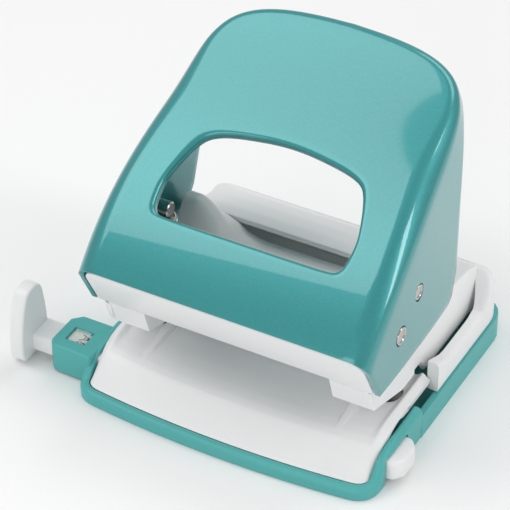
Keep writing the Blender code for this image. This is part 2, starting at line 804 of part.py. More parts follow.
def make_clip(word, side, parts, cutters):
    """The retaining ring on the inner end of a pivot pin."""
    face = HOLE_X - HOUSING_IN - GAP
    ring = rod(f"pin_clip_{word}", PIVOT_R + 2.2, side * (face - 1.0), side * face, "X", PIVOT, parts, 28)
    bore = rod(f"clip_bore_{word}", PIVOT_R + PIN_CLEAR, side * 10, side * 60, "X", PIVOT, cutters, 28)
    gate = box(
        f"clip_gate_{word}", (min(side * 10, side * 60), PIVOT[0] - 1.6, PIVOT[1]),
        (max(side * 10, side * 60), PIVOT[0] + 1.6, PIVOT[1] + 9), cutters,
    )
    cut(ring, bore, gate)
    return ring


# ---------------------------------------------------------------- guide, lock and door

def make_guide_bar(parts, cutters):
    """The sliding paper guide: a flat bar with an upright stop on its outer end."""
    bar = box(
        "guide_bar", (STOP_X - 1, GUIDE_Y[0], GUIDE_Z[0]), (GUIDE_END_X, GUIDE_Y[1], GUIDE_Z[1]), parts,
    )
    stop = prism("guide_stop", rounded([
        (GUIDE_Y[0] - 0.8, 1.0, 2.0), (GUIDE_Y[1] - 0.8, 1.0, 1.5), (GUIDE_Y[1], 10.8),
        (GUIDE_Y[1] - 1.6, 26.6, 4.0), (GUIDE_Y[0] + 0.6, 26.6, 5.0), (-42.3, 15.0, 5.0), (-43.4, 6.0, 2.5),
    ], 4), (STOP_X - STOP_T, STOP_X), "X", cutters)
    bevel(stop, 1.0, 2, 50)
    join(bar, stop)
    return bar


def make_lock(parts):
    """The push slide that locks the lever down for storage."""
    out = HALF_BASE + LOCK_PROUD
    middle = (LOCK_Y[0] + LOCK_Y[1]) / 2
    inner = HALF_BASE - RIM_WALL - GAP - 5.0
    slide = prism("lock_slide", rounded([
        (inner, LOCK_Y[0] + 3.0), (inner, LOCK_Y[1] - 3.0), (HALF_BASE - 2.8, LOCK_Y[1] - 3.0),
        (HALF_BASE - 1.5, LOCK_Y[1]), (out - 2.6, LOCK_Y[1], 2.0), (out, middle + 2.8, 2.0),
        (out, middle - 2.8, 2.0), (out - 2.6, LOCK_Y[0], 2.0), (HALF_BASE - 1.5, LOCK_Y[0]),
        (HALF_BASE - 2.8, LOCK_Y[0] + 3.0),
    ][::-1], 3), LOCK_Z, "Z", parts)
    bevel(slide, 0.7, 2, 50)
    return slide


def make_chip_door(parts, cutters):
    """The flap in the floor through which the paper chips are emptied."""
    door = prism("chip_door", rounded([
        (-DOOR_X, DOOR_Y[0], 3.0), (DOOR_X, DOOR_Y[0], 3.0), (DOOR_X, DOOR_Y[1]), (-DOOR_X, DOOR_Y[1]),
    ], 3), (GAP, FLOOR), "Z", parts)
    notch = rod("door_notch", 9.0, -2, 5, "Z", (0, DOOR_Y[0] - 5.5), cutters, 28)
    cut(door, notch)
    return door


def hinge_on(made, y, z):
    """Moves the origin of a piece to the line Y = y, Z = z without moving its shape."""
    place = Vector((0, y, z)) * MM
    frame = Matrix.Translation(place)
    made.data.transform(frame.inverted() @ made.matrix_basis)
    made.matrix_basis = frame


# ---------------------------------------------------------------- assembly

def main():
    clear_scene()
    parts = new_collection("hole_punch")
    cutters = new_collection("cutters")
    cutters.hide_render = True

    lever_paint = material("lever_paint", (0.09, 0.43, 0.42), 0.25, 0.6)
    rim_plastic = material("rim_plastic", (0.13, 0.46, 0.44), 0.4)
    white_plastic = material("white_plastic", (0.85, 0.86, 0.87), 0.35)
    steel = material("steel", (0.6, 0.58, 0.56), 0.3, 1.0)
    dark_steel = material("spring_steel", (0.42, 0.42, 0.43), 0.35, 1.0)
    clear = material("clear_lens", (0.9, 0.93, 0.93), 0.05, 0.0, 0.35)

    paint(make_base_pan(parts, cutters), rim_plastic)
    paint(make_front_rim(parts, cutters), rim_plastic)
    paint(make_format_lens(parts), clear)
    paint(make_detent_spring(parts), dark_steel)
    paint(make_front_plate(parts, cutters), white_plastic)
    for word, place in screw_places():
        paint(make_screw(word, place, parts, cutters), steel)
    paint(make_chassis(parts, cutters), steel)
    paint(make_upper_body(parts, cutters), white_plastic)
    paint(make_inner_cover(parts), white_plastic)
    paint(make_front_cover(parts), white_plastic)

    lever = make_lever(parts, cutters)
    paint(lever, lever_paint)
    for word, side in SIDES:
        paint(make_housing(word, side, parts, cutters), white_plastic)
        paint(make_die(word, side, parts), steel)
        paint(make_bush(word, side, parts), steel)
        paint(make_punch(word, side, parts), steel)
        paint(make_spring(word, side, parts), dark_steel)
        inner = HOLE_X - HOUSING_IN - 2.2
        paint(make_pin(f"pivot_pin_{word}", PIVOT_R, PIVOT, inner, side, parts), steel)
        paint(make_pin(f"drive_pin_{word}", DRIVE_R, DRIVE, HOLE_X - 3.5, side, parts), steel)
        paint(make_clip(word, side, parts, cutters), dark_steel)

    paint(make_guide_bar(parts, cutters), white_plastic)
    paint(make_lock(parts), white_plastic)
    paint(make_chip_door(parts, cutters), rim_plastic)


main()
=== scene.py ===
"""A two-hole office punch: white body, pressed teal lever, paper guide and lock slide."""

import json
import math

import bmesh
import bpy
from mathutils import Matrix, Vector


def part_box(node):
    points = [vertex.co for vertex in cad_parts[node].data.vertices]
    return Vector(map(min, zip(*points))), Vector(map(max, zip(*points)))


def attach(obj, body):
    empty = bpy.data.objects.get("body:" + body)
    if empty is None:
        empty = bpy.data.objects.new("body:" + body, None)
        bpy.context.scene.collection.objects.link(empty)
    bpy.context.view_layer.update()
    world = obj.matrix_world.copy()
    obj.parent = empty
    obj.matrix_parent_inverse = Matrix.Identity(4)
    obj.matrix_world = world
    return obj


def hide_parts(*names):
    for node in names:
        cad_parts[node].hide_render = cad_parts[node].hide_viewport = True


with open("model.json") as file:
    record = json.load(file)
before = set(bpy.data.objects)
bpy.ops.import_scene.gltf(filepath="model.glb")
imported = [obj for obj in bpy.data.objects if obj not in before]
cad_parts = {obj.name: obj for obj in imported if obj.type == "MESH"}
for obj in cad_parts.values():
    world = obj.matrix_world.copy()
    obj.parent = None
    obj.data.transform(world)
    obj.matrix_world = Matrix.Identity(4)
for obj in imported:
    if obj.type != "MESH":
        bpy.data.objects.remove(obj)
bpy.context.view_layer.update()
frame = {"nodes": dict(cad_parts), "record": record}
MM = 0.001

# ------------------------------------------------------------------------------------------------
# Studio. A pale flat floor, a large soft box over the left shoulder, one above and behind,
# a strip at the right for the long highlight on the lever, and a dim wash from the front.

world = bpy.data.worlds.new("studio")
world.use_nodes = True
world.node_tree.nodes["Background"].inputs["Color"].default_value = (1.0, 1.0, 1.0, 1.0)
world.node_tree.nodes["Background"].inputs["Strength"].default_value = 0.5
bpy.context.scene.world = world
bpy.context.scene.view_settings.view_transform = "Standard"

eye = bpy.data.objects.new("camera", bpy.data.cameras.new("camera"))
eye.data.lens = 190.15
eye.data.sensor_width = 36.0
eye.data.clip_end = 20.0
eye.location = (0.30897, -0.58780, 0.55859)
eye.rotation_euler = (math.radians(90 - 37.76), 0.0, math.radians(28.7))
bpy.context.scene.collection.objects.link(eye)
bpy.context.scene.camera = eye


def soft_box(name, place, aim, size, power):
    lamp = bpy.data.lights.new(name, "AREA")
    lamp.shape = "RECTANGLE"
    lamp.size, lamp.size_y = size
    lamp.energy = power
    made = bpy.data.objects.new(name, lamp)
    made.location = place
    made.rotation_euler = (Vector(aim) - Vector(place)).to_track_quat("-Z", "Y").to_euler()
    bpy.context.scene.collection.objects.link(made)


soft_box("key", (-0.55, -0.25, 0.95), (0, 0, 0.05), (0.7, 0.7), 3.6)
soft_box("strip", (0.75, 0.05, 0.55), (0, 0, 0.05), (0.12, 0.7), 1.8)
soft_box("wash", (0.1, -1.1, 0.5), (0, 0, 0.03), (0.9, 0.5), 2.4)
soft_box("top", (0.15, 0.55, 1.0), (0, 0, 0.05), (0.8, 0.5), 2.6)

floor_mesh = bmesh.new()
bmesh.ops.create_grid(floor_mesh, x_segments=40, y_segments=40, size=4.0)
floor_data = bpy.data.meshes.new("floor")
floor_mesh.to_mesh(floor_data)
floor_mesh.free()
floor = bpy.data.objects.new("floor", floor_data)
bpy.context.scene.collection.objects.link(floor)
floor_paint = bpy.data.materials.new("floor_paper")
floor_paint.use_nodes = True
paper = floor_paint.node_tree.nodes["Principled BSDF"]
paper.inputs["Base Color"].default_value = (0.93, 0.93, 0.93, 1.0)
paper.inputs["Roughness"].default_value = 0.9
floor.data.materials.append(floor_paint)


# ------------------------------------------------------------------------------------------------
# Lever. Pressed from one sheet of 1.6 mm steel: a crowned face with a hand window whose edge is
# rolled in, flanks that reach down over the punches, and a turned-down lip round the arched top.
# It is sprayed metallic teal with a clear coat over fine flake.

TILT = math.radians(32.0)
FACE_START = Vector((0.0, -47.9, 53.8))
FACE_LONG = 103.2
FACE_HALF = 50.0
SHEET = 1.6
ALONG = Vector((0, math.cos(TILT), math.sin(TILT)))
OUTWARD = Vector((0, -math.sin(TILT), math.cos(TILT)))
ARCH = [
    (1.0, 0.0), (1.0, 0.21), (0.975, 0.41), (0.93, 0.60), (0.896, 0.766), (0.86, 0.843), (0.78, 0.911),
    (0.65, 0.956), (0.47, 0.983), (0.24, 0.996), (0.0, 1.0),
]
FLANK_EDGE = [
    (0.0, 21.4), (41.1, 48.6), (44.0, 49.0), (51.6, 45.0), (68.0, 26.8), (84.0, 9.4), (88.0, 7.2), (95.0, 6.6),
    (103.2, 6.4),
]


def between(table, place):
    """Value at a place in a table of (place, value), straight-line between its rows."""
    for (low, start), (high, end) in zip(table, table[1:]):
        if place <= high:
            share = min(max((place - low) / (high - low), 0.0), 1.0)
            return start + (end - start) * share
    return table[-1][1]


def smoothed(points, times):
    """Rounds a run of points by cutting its corners, keeping both ends."""
    for _ in range(times):
        cut = [points[0]]
        for a, b in zip(points, points[1:]):
            cut += [a.lerp(b, 0.25), a.lerp(b, 0.75)]
        points = cut + [points[-1]]
    return points


def evenly(points, count):
    """Count points evenly spaced along a run of points."""
    lengths = [0.0]
    for a, b in zip(points, points[1:]):
        lengths.append(lengths[-1] + (b - a).length)
    spaced = []
    index = 0
    for step in range(count):
        want = lengths[-1] * step / (count - 1)
        while index < len(points) - 2 and lengths[index + 1] < want:
            index += 1
        run = lengths[index + 1] - lengths[index]
        spaced.append(points[index].lerp(points[index + 1], (want - lengths[index]) / run if run else 0.0))
    return spaced


def crown(s):
    share = min(max(s / FACE_LONG, 0.0), 1.0)
    return 6.75 * 5.0 * share * (1 - share) ** 2


def bend_radius(s):
    share = min(max((s / FACE_LONG - 0.6) / 0.35, 0.0), 1.0)
    return 7.0 - 4.2 * share * share * (3 - 2 * share)


def on_lever(x, s, height):
    return (FACE_START + Vector((x, 0, 0)) + ALONG * s + OUTWARD * height) * MM


def window_edge(grow):
    wide = 33.0 + grow
    low = 23.0 - grow
    high = 57.5 + grow
    right = [
        (0.0, low), (wide - 7.0, low), (wide - 1.2, low + 0.6), (wide - 0.2, low + 8.0), (wide - 0.6, low + 14.0),
        (wide - 4.5, high - 8.5), (wide - 8.0, high - 4.6), (wide - 16.0, high - 2.2), (0.0, high),
    ]
    points = [Vector(p) for p in right] + [Vector((-x, s)) for x, s in reversed(right[1:-1])]
    for _ in range(3):
        cut = []
        for a, b in zip(points, points[1:] + points[:1]):
            cut += [a.lerp(b, 0.25), a.lerp(b, 0.75)]
        points = cut
    return points


def ray_meets(outline, centre, ray):
    best = 0.0
    for a, b in zip(outline, outline[1:] + outline[:1]):
        edge = b - a
        cross = ray.x * edge.y - ray.y * edge.x
        if abs(cross) < 1e-12:
            continue
        reach = ((a - centre).x * edge.y - (a - centre).y * edge.x) / cross
        share = ((a - centre).x * ray.y - (a - centre).y * ray.x) / cross
        if reach > best and -1e-6 <= share <= 1.000001:
            best = reach
    return centre + ray * best


def mesh_object(name, work, smooth_angle=40.0):
    """A finished piece at the origin, with its normals put right."""
    data = bpy.data.meshes.new(name)
    work.to_mesh(data)
    work.free()
    made = bpy.data.objects.new(name, data)
    bpy.context.scene.collection.objects.link(made)
    data.shade_smooth()
    data.set_sharp_from_angle(angle=math.radians(smooth_angle))
    return made


def grid_piece(columns, rows, place):
    """A bmesh grid whose corners are put at place(column, row)."""
    work = bmesh.new()
    bmesh.ops.create_grid(work, x_segments=columns, y_segments=rows, size=0.5)
    for vert in work.verts:
        column = round((vert.co.x + 0.5) * columns)
        row = round((vert.co.y + 0.5) * rows)
        vert.co = place(column, row)
    return work


half_arch = evenly(smoothed([Vector((x * FACE_HALF, s * FACE_LONG)) for x, s in ARCH], 3), 90)
arch = half_arch + [Vector((-p.x, p.y)) for p in reversed(half_arch[:-1])]
arch_normals = []
for index, here in enumerate(arch):
    run = arch[min(index + 1, len(arch) - 1)] - arch[max(index - 1, 0)]
    arch_normals.append(Vector((run.y, -run.x)).normalized())
face_edge = [p - n * bend_radius(p.y) for p, n in zip(arch, arch_normals)]
face_edge[0].y = face_edge[-1].y = 0.0
front_count = 50
front_edge = [face_edge[-1].lerp(face_edge[0], step / front_count) for step in range(1, front_count)]
loop = face_edge + front_edge
window_centre = Vector((0.0, 40.0))
rays = [(p - window_centre).normalized() for p in loop]
roll = 1.6
window_loops = []
for step in range(7):
    turn = math.pi / 2 * step / 6
    edge = window_edge(roll * (1 - math.cos(turn)))
    drop = roll * (1 - math.sin(turn))
    window_loops.append([(ray_meets(edge, window_centre, ray), drop) for ray in rays])
edge = window_edge(0.0)
window_loops.insert(0, [(ray_meets(edge, window_centre, ray), roll + 1.6) for ray in rays])
hem = window_loops[-1]
face_rings = 22


def face_place(column, row):
    index = column % len(loop)
    if row < len(window_loops):
        place, drop = window_loops[row][index]
        return on_lever(place.x, place.y, crown(place.y) - drop)
    share = (row - len(window_loops) + 1) / face_rings
    place = hem[index][0].lerp(loop[index], share)
    return on_lever(place.x, place.y, crown(place.y))


lever_face = grid_piece(len(loop), len(window_loops) - 1 + face_rings, face_place)

BEND_STEPS = 10
FLANK_STEPS = 14


def flank_place(column, row):
    here = arch[column]
    normal = arch_normals[column]
    bend = bend_radius(here.y)
    foot = between(FLANK_EDGE, here.y)
    if row <= BEND_STEPS:
        turn = math.pi / 2 * row / BEND_STEPS
        across = bend * (1 - math.sin(turn))
        place = here - normal * across
        return on_lever(place.x, face_edge[column].y if column in (0, len(arch) - 1) else place.y,
                        crown(face_edge[column].y) - bend * (1 - math.cos(turn)))
    deep = bend + (foot - bend) * (row - BEND_STEPS) / FLANK_STEPS
    lean = -0.078 * max(deep - bend, 0.0) * max(0.0, 1 - here.y / 20.0)
    return on_lever(here.x, here.y + lean, crown(here.y) * (1 - (row - BEND_STEPS) / FLANK_STEPS) - deep)


flank = grid_piece(len(arch) - 1, BEND_STEPS + FLANK_STEPS, flank_place)
flank_data = bpy.data.meshes.new("flank")
flank.to_mesh(flank_data)
flank.free()
lever_face.from_mesh(flank_data)
bpy.data.meshes.remove(flank_data)
bmesh.ops.remove_doubles(lever_face, verts=lever_face.verts, dist=0.02 * MM)
bmesh.ops.recalc_face_normals(lever_face, faces=lever_face.faces)
top_face = max(lever_face.faces, key=lambda face: face.calc_center_median().z)
if top_face.normal.dot(OUTWARD) < 0:
    bmesh.ops.reverse_faces(lever_face, faces=lever_face.faces)
lever = mesh_object("lever_shell", lever_face, 50.0)
sheet = lever.modifiers.new("sheet", "SOLIDIFY")
sheet.thickness = SHEET * MM
sheet.offset = -1.0
edges = lever.modifiers.new("deburred", "BEVEL")
edges.width = 0.25 * MM
edges.segments = 2
edges.limit_method = "ANGLE"
edges.angle_limit = math.radians(55)


def socket_group(name, inputs, outputs):
    """An empty shader node group with the sockets named."""
    group = bpy.data.node_groups.new(name, "ShaderNodeTree")
    for word, kind, value in inputs:
        made = group.interface.new_socket(name=word, in_out="INPUT", socket_type=kind)
        made.default_value = value
    for word, kind in outputs:
        group.interface.new_socket(name=word, in_out="OUTPUT", socket_type=kind)
    return group, group.nodes.new("NodeGroupInput"), group.nodes.new("NodeGroupOutput")


def joined(tree, source, target):
    tree.links.new(source, target)


def finish_group():
    """Slow mottling of colour and gloss, a fine surface grain and a light rub, for any finish."""
    group, given, made = socket_group(
        "surface_finish",
        [("Colour", "NodeSocketColor", (0.5, 0.5, 0.5, 1)), ("Shade", "NodeSocketColor", (0.4, 0.4, 0.4, 1)),
         ("Mottle Size", "NodeSocketFloat", 60.0), ("Mottle", "NodeSocketFloat", 0.3),
         ("Grain Size", "NodeSocketFloat", 2500.0), ("Roughness", "NodeSocketFloat", 0.4),
         ("Rub", "NodeSocketFloat", 0.08)],
        [("Colour", "NodeSocketColor"), ("Roughness", "NodeSocketFloat"), ("Grain", "NodeSocketFloat")],
    )
    place = group.nodes.new("ShaderNodeTexCoord")
    clouds = group.nodes.new("ShaderNodeTexNoise")
    clouds.inputs["Detail"].default_value = 3.0
    grain = group.nodes.new("ShaderNodeTexNoise")
    grain.inputs["Detail"].default_value = 2.0
    joined(group, place.outputs["Object"], clouds.inputs["Vector"])
    joined(group, given.outputs["Mottle Size"], clouds.inputs["Scale"])
    joined(group, place.outputs["Object"], grain.inputs["Vector"])
    joined(group, given.outputs["Grain Size"], grain.inputs["Scale"])
    amount = group.nodes.new("ShaderNodeMath")
    amount.operation = "MULTIPLY"
    joined(group, clouds.outputs["Fac"], amount.inputs[0])
    joined(group, given.outputs["Mottle"], amount.inputs[1])
    blend = group.nodes.new("ShaderNodeMix")
    blend.data_type = "RGBA"
    joined(group, amount.outputs[0], blend.inputs[0])
    joined(group, given.outputs["Colour"], blend.inputs[6])
    joined(group, given.outputs["Shade"], blend.inputs[7])
    joined(group, blend.outputs[2], made.inputs["Colour"])
    rub = group.nodes.new("ShaderNodeMath")
    rub.operation = "MULTIPLY_ADD"
    joined(group, clouds.outputs["Fac"], rub.inputs[0])
    joined(group, given.outputs["Rub"], rub.inputs[1])
    joined(group, given.outputs["Roughness"], rub.inputs[2])
    joined(group, rub.outputs[0], made.inputs["Roughness"])
    joined(group, grain.outputs["Fac"], made.inputs["Grain"])
    return group


surface_finish = finish_group()


def finished(name, colour, shade, roughness, mottle=0.3, mottle_size=60.0, grain_size=2500.0, bump=0.1,
             grain_depth=0.02, rub=0.08, metallic=0.0, coat=0.0, coat_roughness=0.05):
    """A material whose colour, gloss and grain come from the shared surface finish."""
    paint = bpy.data.materials.new(name)
    paint.use_nodes = True
    tree = paint.node_tree
    shader = tree.nodes["Principled BSDF"]
    skin = tree.nodes.new("ShaderNodeGroup")
    skin.node_tree = surface_finish
    skin.inputs["Colour"].default_value = (*colour, 1.0)
    skin.inputs["Shade"].default_value = (*shade, 1.0)
    skin.inputs["Roughness"].default_value = roughness
    skin.inputs["Mottle"].default_value = mottle
    skin.inputs["Mottle Size"].default_value = mottle_size
    skin.inputs["Grain Size"].default_value = grain_size
    skin.inputs["Rub"].default_value = rub
    relief = tree.nodes.new("ShaderNodeBump")
    relief.inputs["Strength"].default_value = bump
    relief.inputs["Distance"].default_value = grain_depth * MM
    joined(tree, skin.outputs["Colour"], shader.inputs["Base Color"])
    joined(tree, skin.outputs["Roughness"], shader.inputs["Roughness"])
    joined(tree, skin.outputs["Grain"], relief.inputs["Height"])
    joined(tree, relief.outputs["Normal"], shader.inputs["Normal"])
    shader.inputs["Metallic"].default_value = metallic
    shader.inputs["Coat Weight"].default_value = coat
    shader.inputs["Coat Roughness"].default_value = coat_roughness
    return paint


def wear(made, paint):
    made.data.materials.clear()
    made.data.materials.append(paint)


def flake_paint():
    """Metallic teal under clear coat, the coat faintly rippled; the flakes' sparkle is painted as brighter teal specks
    mixed into the base colour.
    """
    paint = finished("lever_paint", (0.018, 0.265, 0.275), (0.026, 0.310, 0.318), 0.30, mottle=0.5,
                     mottle_size=900.0, grain_size=420.0, bump=0.25, grain_depth=0.02, rub=0.05,
                     metallic=0.35, coat=1.0, coat_roughness=0.04)
    tree = paint.node_tree
    shader = tree.nodes["Principled BSDF"]
    skin = next(node for node in tree.nodes if node.type == "GROUP")
    place = tree.nodes.new("ShaderNodeTexCoord")
    flakes = tree.nodes.new("ShaderNodeTexVoronoi")
    flakes.inputs["Scale"].default_value = 4200.0
    joined(tree, place.outputs["Object"], flakes.inputs["Vector"])
    # Painted glint: random flake cells mix up to 30% of a brighter teal into the base colour.
    glint = tree.nodes.new("ShaderNodeMix")
    glint.data_type = "RGBA"
    glint.inputs[7].default_value = (0.07, 0.42, 0.40, 1.0)
    spread = tree.nodes.new("ShaderNodeMapRange")
    spread.inputs["From Min"].default_value = 0.55
    spread.inputs["From Max"].default_value = 1.0
    spread.inputs["To Max"].default_value = 0.3
    joined(tree, flakes.outputs["Color"], spread.inputs["Value"])
    joined(tree, spread.outputs["Result"], glint.inputs[0])
    joined(tree, skin.outputs["Colour"], glint.inputs[6])
    joined(tree, glint.outputs[2], shader.inputs["Base Color"])
    return paint


def rod(radius, start, end, y, z, sides=64):
    """A bmesh cylinder along X."""
    work = bmesh.new()
    bmesh.ops.create_cone(work, cap_ends=True, segments=sides, radius1=radius * MM, radius2=radius * MM,
                          depth=abs(end - start) * MM)
    turn = Matrix.Rotation(math.pi / 2, 4, "Y")
    bmesh.ops.transform(work, matrix=turn, verts=work.verts)
    bmesh.ops.translate(work, vec=Vector(((start + end) / 2, y, z)) * MM, verts=work.verts)
    return work


def settle(made, tools, operation="DIFFERENCE"):
    """Bakes the piece's modifiers after cutting it with, or joining it to, each tool."""
    for tool in tools:
        step = made.modifiers.new("tool", "BOOLEAN")
        step.operation = operation
        step.object = tool
        step.solver = "EXACT"
    seen = bpy.context.evaluated_depsgraph_get()
    data = bpy.data.meshes.new_from_object(made.evaluated_get(seen))
    made.modifiers.clear()
    made.data = data
    for tool in tools:
        bpy.data.objects.remove(tool, do_unlink=True)


PIVOT_YZ = (-24.1, 48.7)
DRIVE_YZ = (-11.1, 56.0)
settle(lever, [mesh_object("pivot_hole", rod(3.35, -60, 60, *PIVOT_YZ)),
               mesh_object("drive_hole", rod(2.95, -60, 60, *DRIVE_YZ))])
lever.data.set_sharp_from_angle(angle=math.radians(50))
wear(lever, flake_paint())
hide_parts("lever")
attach(lever, "lever")

# ------------------------------------------------------------------------------------------------
# Finishes of the plastics and the steel. The white and the teal are satin mouldings with a fine
# spark-eroded grain; the steel is turned or drawn and left bright.

white_plastic = finished("white_plastic", (0.86, 0.863, 0.866), (0.81, 0.813, 0.816), 0.30, mottle=0.25,
                         grain_size=3200.0, bump=0.12)
teal_plastic = finished("teal_plastic", (0.080, 0.43, 0.42), (0.065, 0.375, 0.366), 0.36, mottle=0.3,
                        grain_size=3000.0, bump=0.15)
bright_steel = finished("bright_steel", (0.62, 0.58, 0.55), (0.46, 0.43, 0.41), 0.22, mottle=0.5,
                        mottle_size=400.0, grain_size=1800.0, bump=0.2, metallic=1.0)
spring_wire = finished("spring_wire", (0.42, 0.42, 0.43), (0.3, 0.3, 0.31), 0.32, mottle=0.5,
                       mottle_size=700.0, grain_size=2400.0, bump=0.2, metallic=1.0)
clear_plastic = finished("clear_plastic", (0.93, 0.95, 0.95), (0.9, 0.93, 0.93), 0.06, mottle=0.2, bump=0.03)
clear_plastic.node_tree.nodes["Principled BSDF"].inputs["Alpha"].default_value = 0.2


def dress(made, paint, slot_name, body, *nodes):
    """Gives a finished piece its material, its body and the CAD nodes that it shows; slot_name is not used."""
    wear(made, paint)
    if nodes:
        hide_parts(*nodes)
    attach(made, body)


# ------------------------------------------------------------------------------------------------
# Rim of the base. A satin teal moulding that runs round the front and both sides of the paper
# table; it is low and bullnosed at the front and climbs at each side to clear the guide and lock.

BASE_HALF = 52.7
FRONT_Y = -47.5
BOW = 3.5
RIM_HEIGHT = [
    (-60.0, 4.6), (-45.0, 4.7), (-42.6, 5.2), (-40.8, 6.8), (-38.8, 9.0), (-36.4, 10.6), (-32.0, 11.7),
    (-26.0, 12.0), (-12.0, 12.0),
]


def eased(table, place):
    """Value at a place in a table, straight-line between its rows."""
    for (low, start), (high, end) in zip(table, table[1:]):
        if place <= high:
            share = min(max((place - low) / (high - low), 0.0), 1.0)
            return start + (end - start) * share
    return table[-1][1]


def front_at(x):
    return FRONT_Y - BOW * (1 - (x / BASE_HALF) ** 2)


def base_run(rear, count):
    """Even points from the right side at y = rear, round the bowed front, to the left side."""
    right = [Vector((BASE_HALF, rear)), Vector((BASE_HALF, -32.0)), Vector((BASE_HALF, FRONT_Y))]
    right += [Vector((x, front_at(x))) for x in (36.5, 24.0, 12.0)]
    run = right + [Vector((0.0, front_at(0)))] + [Vector((-p.x, p.y)) for p in reversed(right)]
    return evenly(smoothed(run, 5), count)


def inwards(run):
    """Unit normals that point into the base from a run that goes clockwise seen from above."""
    normals = []
    for index in range(len(run)):
        step = run[min(index + 1, len(run) - 1)] - run[max(index - 1, 0)]
        normals.append(Vector((step.y, -step.x)).normalized())
    if normals[len(normals) // 2].y < 0:
        normals = [-n for n in normals]
    return normals


def swept(name, run, normals, section, smooth_angle=40.0):
    """Sweeps a closed section of (inset, z) corners along a run and closes both ends."""
    rows = len(section(run[0]))

    def place(column, row):
        inset, z = section(run[column])[row % rows]
        spot = run[column] + normals[column] * inset
        return Vector((spot.x, spot.y, z)) * MM

    work = grid_piece(len(run) - 1, rows, place)
    bmesh.ops.remove_doubles(work, verts=work.verts, dist=0.001 * MM)
    ends = [edge for edge in work.edges if edge.is_boundary]
    bmesh.ops.holes_fill(work, edges=ends, sides=0)
    bmesh.ops.recalc_face_normals(work, faces=work.faces)
    return mesh_object(name, work, smooth_angle)


def arc(centre, radius, start, end, steps):
    return [(centre[0] + radius * math.cos(math.radians(start + (end - start) * n / steps)),
             centre[1] + radius * math.sin(math.radians(start + (end - start) * n / steps)))
            for n in range(steps + 1)]


def rim_section(spot):
    top = eased(RIM_HEIGHT, spot.y)
    outer = 1.9
    return ([(0.5, 0.0), (0.12, 0.35)] + arc((outer, top - outer), outer, 180, 90, 8)
            + arc((2.5, top - 0.5), 0.5, 90, 0, 3) + [(3.0, 0.6), (2.7, 0.0)])


front_run = base_run(-11.9, 220)
front_inwards = inwards(front_run)
rim = swept("front_rim", front_run, front_inwards, rim_section)

# The guide housing is moulded with the rim: a chamfered block that the guide bar runs through,
# with a small window over the paper sizes.

GUIDE_FRONT, GUIDE_BACK = -36.7, -26.7


def slab(outline, low, high):
    """A bmesh plate: the outline filled and drawn up from low to high."""
    work = bmesh.new()
    corners = [work.verts.new(Vector((x, y, low)) * MM) for x, y in outline]
    face = work.faces.new(corners)
    drawn = bmesh.ops.extrude_face_region(work, geom=[face])
    moved = [part for part in drawn["geom"] if isinstance(part, bmesh.types.BMVert)]
    bmesh.ops.translate(work, vec=Vector((0, 0, high - low)) * MM, verts=moved)
    bmesh.ops.recalc_face_normals(work, faces=work.faces)
    return work


def rounded_edges(work, width, segments=4, angle=30.0):
    """Rounds every edge of a bmesh that is sharper than the angle."""
    sharp = [edge for edge in work.edges if edge.is_manifold and edge.calc_face_angle() > math.radians(angle)]
    bmesh.ops.bevel(work, geom=sharp, offset=width * MM, offset_type="OFFSET", segments=segments, profile=0.5,
                    affect="EDGES", material=-1, clamp_overlap=True)
    return work


block_plan = [
    (-66.6, -37.2), (-64.6, -39.7), (-50.4, -40.1), (-50.4, -22.3), (-63.4, -22.3), (-66.6, -25.4),
]
block = mesh_object("guide_block", rounded_edges(slab(block_plan, 0.6, 11.3), 0.9))
settle(rim, [block], "UNION")
rim_cuts = [
    slab([
        (-72, GUIDE_FRONT - 0.35), (-40, GUIDE_FRONT - 0.35), (-40, GUIDE_BACK + 0.35), (-72, GUIDE_BACK + 0.35),
    ], 2.85, 9.85),
    slab([(-62.7, -35.2), (-55.5, -35.2), (-55.5, -28.6), (-62.7, -28.6)], 8.0, 20.0),
    rounded_edges(slab([(40, -37.1), (60, -37.1), (60, -21.9), (40, -21.9)], -5.0, 9.7), 1.0, 4),
]
settle(rim, [mesh_object(f"rim_cut_{n}", work) for n, work in enumerate(rim_cuts)])
rim.data.shade_smooth()
rim.data.set_sharp_from_angle(angle=math.radians(35))
dress(rim, teal_plastic, "rim_plastic", "base", "front_rim")

# ------------------------------------------------------------------------------------------------
# Paper table. A white shell with a sloped apron that follows the bowed front, a flat top for the
# sheets, a low bead along each side, and two tapered guide ribs under the punch housings.

APRON = [
    (0.0, 4.4), (1.0, 4.9), (2.4, 6.0), (8.2, 11.2), (10.0, 12.3), (12.4, 13.1), (16.0, 13.6), (22.0, 13.8),
    (80.0, 13.8),
]
TABLE_HALF = BASE_HALF - 3.3


def ramp(low, high, value):
    share = min(max((value - low) / (high - low), 0.0), 1.0)
    return share * share * (3 - 2 * share)


inner_run = [p + n * 3.3 for p, n in zip(base_run(-11.9, 400), inwards(base_run(-11.9, 400)))]


def table_front(x):
    """Front edge of the table at x, rounded corners included."""
    near = min(inner_run, key=lambda p: (p.x - x) ** 2 if p.y < -36 else 1e9)
    return near.y


table_columns = [TABLE_HALF * math.sin(math.pi / 2 * n / 70) for n in range(-70, 71)]
table_fronts = [table_front(x) for x in table_columns]


def table_place(column, row):
    x = table_columns[column]
    front = table_fronts[column]
    share = row / 110
    y = front + (-0.1 - front) * share ** 1.35
    z = eased(APRON, y - max(front, front_at(x) + 3.3))
    z += 1.5 * math.exp(-((abs(x) - 46.9) / 1.3) ** 2) * ramp(-38, -24, y)
    rib = ramp(-35.5, -19.5, y) * 1.7
    wide = 1.1 + 0.5 * ramp(-35.5, -20, y)
    z += rib * (1 - ramp(wide - 0.5, wide + 0.2, abs(abs(x) - 34.4)))
    return Vector((x, y, z)) * MM


